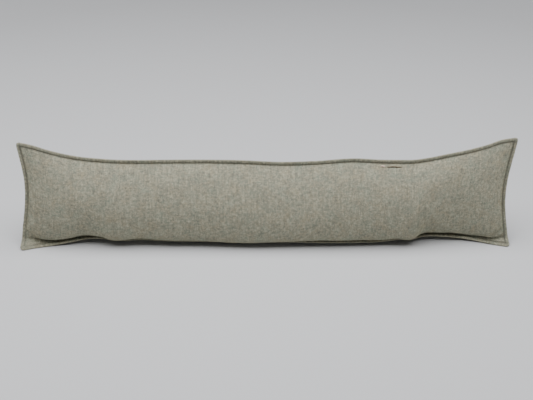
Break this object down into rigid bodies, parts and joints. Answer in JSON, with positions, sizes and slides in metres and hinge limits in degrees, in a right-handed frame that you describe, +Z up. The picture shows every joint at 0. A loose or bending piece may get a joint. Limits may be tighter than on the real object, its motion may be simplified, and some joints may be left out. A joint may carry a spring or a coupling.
{
  "type": "draught excluder",
  "caption": "Long filled draught excluder in grey-green wool tweed with a narrow flat flange all round, standing slumped on its long lower edge.",
  "frame": {"origin": "on the floor, under the middle of the cushion's bounding box", "axes": "+X along the length, to the right as seen from the front; +Y from front to back; +Z up"},
  "size_m": [0.8916, 0.0942, 0.1892],
  "materials": {
    "wool_tweed": "matte grey-green melange wool tweed"
  },
  "bodies": {
    "root": {"cushion": "wool_tweed"}
  },
  "joints": []
}
